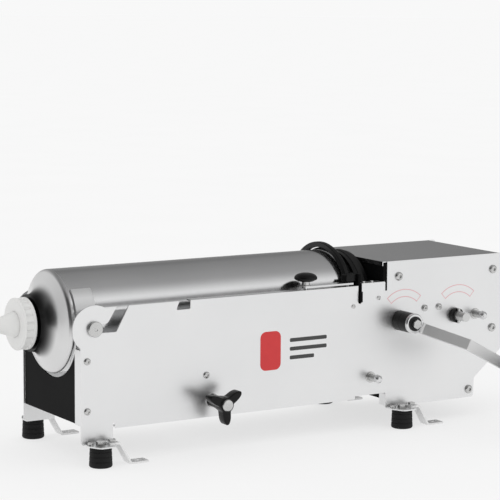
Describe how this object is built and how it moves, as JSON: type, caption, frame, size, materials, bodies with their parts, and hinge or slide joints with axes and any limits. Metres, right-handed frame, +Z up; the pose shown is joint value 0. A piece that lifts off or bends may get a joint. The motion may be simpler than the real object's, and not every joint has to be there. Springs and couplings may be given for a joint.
{
  "type": "sausage filler",
  "caption": "Horizontal hand-cranked sausage filler: steel barrel in a sheet frame, rack-driven piston, two crank speeds, tipping barrel, screw-on nozzle.",
  "frame": {"origin": "middle of the four bench holes of the hold-down straps, on the bench plane", "axes": "+X along the barrel from the nozzle to the gearbox, +Z up, -Y towards the side with the crank"},
  "size_m": [1.433, 0.465, 0.299],
  "materials": {
    "stainless_plate": "satin stainless sheet",
    "stainless_polished": "polished stainless",
    "steel_fastener": "turned and plated steel",
    "machined_steel": "machined, lightly oiled steel",
    "black_painted_steel": "black powder coat",
    "black_plastic": "black moulded plastic",
    "white_plastic": "food-grade white plastic",
    "natural_plastic": "natural low-friction plastic",
    "bronze": "sintered bronze",
    "aluminium": "milled aluminium",
    "rubber": "black moulded rubber",
    "seal_rubber": "black food-grade rubber"
  },
  "bodies": {
    "base": {"side_plate_near": "stainless_plate", "side_plate_far": "stainless_plate", "slot_doublers": "stainless_plate", "front_panel": "black_painted_steel", "gearbox_front_wall": "black_painted_steel", "gearbox_cover": "stainless_polished", "gearbox_floor": "black_painted_steel", "frame_screws": "steel_fastener", "gearbox_screws": "steel_fastener", "side_screws": "steel_fastener", "rack_guide": "aluminium", "rack_bushes": "natural_plastic", "shaft_bushes": "bronze", "rest_rod": "steel_fastener", "rest_sleeve": "rubber", "cross_brace": "stainless_plate", "weld_nuts": "steel_fastener", "brace_bolt": "steel_fastener", "side_studs": "steel_fastener", "stud_cap_nuts": "stainless_polished", "rubber_feet": "rubber", "foot_fasteners": "steel_fastener", "hold_down_straps": "stainless_plate"},
    "barrel": {"barrel_tube": "stainless_polished", "barrel_dome": "stainless_plate", "trunnion_pads": "stainless_plate", "trunnions": "steel_fastener", "rear_yoke": "black_painted_steel", "hoop_handle": "black_plastic", "handle_screws": "steel_fastener", "hold_down_arm": "stainless_polished"},
    "hold_down_washer": {"hold_down_washer": "steel_fastener"},
    "hold_down_screw": {"hold_down_screw": "steel_fastener", "hold_down_knob": "black_plastic"},
    "nozzle": {"nozzle": "white_plastic", "nozzle_seal": "seal_rubber"},
    "ring_nut": {"ring_nut": "white_plastic"},
    "piston": {"piston_plate": "black_plastic", "piston_seal": "seal_rubber", "piston_back": "black_plastic", "piston_bolt": "steel_fastener", "rack": "machined_steel"},
    "fast_shaft": {"fast_shaft": "machined_steel", "large_gear": "machined_steel", "rack_pinion": "machined_steel", "fast_spacers": "machined_steel", "fast_collar": "machined_steel", "fast_keys_and_pins": "machined_steel"},
    "slow_shaft": {"slow_shaft": "machined_steel", "small_gear": "machined_steel", "slow_spacers": "machined_steel", "slow_keys_and_pins": "machined_steel", "crank_hub": "stainless_polished", "crank_arm": "stainless_plate", "crank_bolt": "steel_fastener", "grip_bolt": "steel_fastener"},
    "crank_grip": {"crank_grip": "black_plastic"},
    "clamp_washer": {"clamp_washer": "steel_fastener"},
    "clamp_screw": {"clamp_screw": "steel_fastener", "clamp_knob": "black_plastic"}
  },
  "joints": [
    {"name": "piston_slide", "type": "slide", "parent": "base", "child": "piston", "axis": [1, 0, 0], "range_m": [-0.5, 0]},
    {"name": "fast_shaft_turn", "type": "hinge", "parent": "base", "child": "fast_shaft", "pos_m": [0.3324, 0, 0.175], "axis": [0, 1, 0], "range_deg": [-1125, 1]},
    {"name": "crank_turn", "type": "hinge", "parent": "base", "child": "slow_shaft", "pos_m": [0.2194, 0, 0.175], "axis": [0, 1, 0], "range_deg": [-1, 3580]},
    {"name": "grip_spin", "type": "hinge", "parent": "slow_shaft", "child": "crank_grip", "pos_m": [0.35361, -0.26, 0.10364], "axis": [0, 1, 0], "continuous": true},
    {"name": "barrel_tilt", "type": "hinge", "parent": "base", "child": "barrel", "pos_m": [-0.3404, 0, 0.206], "axis": [0, -1, 0], "range_deg": [0, 45]},
    {"name": "nozzle_release", "type": "slide", "parent": "barrel", "child": "nozzle", "axis": [-1, 0, 0], "range_m": [0, 0.0141]},
    {"name": "ring_nut_turn", "type": "hinge", "parent": "nozzle", "child": "ring_nut", "pos_m": [-0.4136, 0, 0.206], "axis": [-1, 0, 0], "range_deg": [0, 1260]},
    {"name": "hold_down_rise", "type": "slide", "parent": "barrel", "child": "hold_down_washer", "axis": [0, 0, 1], "range_m": [0, 0.00951]},
    {"name": "hold_down_turn", "type": "hinge", "parent": "hold_down_washer", "child": "hold_down_screw", "pos_m": [0.0404, -0.092, 0.25], "axis": [0, 0, 1], "range_deg": [0, 3420]},
    {"name": "clamp_back_off", "type": "slide", "parent": "base", "child": "clamp_washer", "axis": [0, -1, 0], "range_m": [0, 0.01426]},
    {"name": "clamp_turn", "type": "hinge", "parent": "clamp_washer", "child": "clamp_screw", "pos_m": [-0.1366, -0.11, 0.078], "axis": [0, -1, 0], "range_deg": [0, 3420]}
  ],
  "couplings": [
    {"joint": "fast_shaft_turn", "follows": "piston_slide", "rad_per_m": 39.216},
    {"joint": "crank_turn", "follows": "piston_slide", "rad_per_m": -124.91},
    {"joint": "nozzle_release", "follows": "ring_nut_turn", "m_per_rad": 0.00063662},
    {"joint": "hold_down_rise", "follows": "hold_down_turn", "m_per_rad": 0.00015915},
    {"joint": "clamp_back_off", "follows": "clamp_turn", "m_per_rad": 0.00023873}
  ]
}
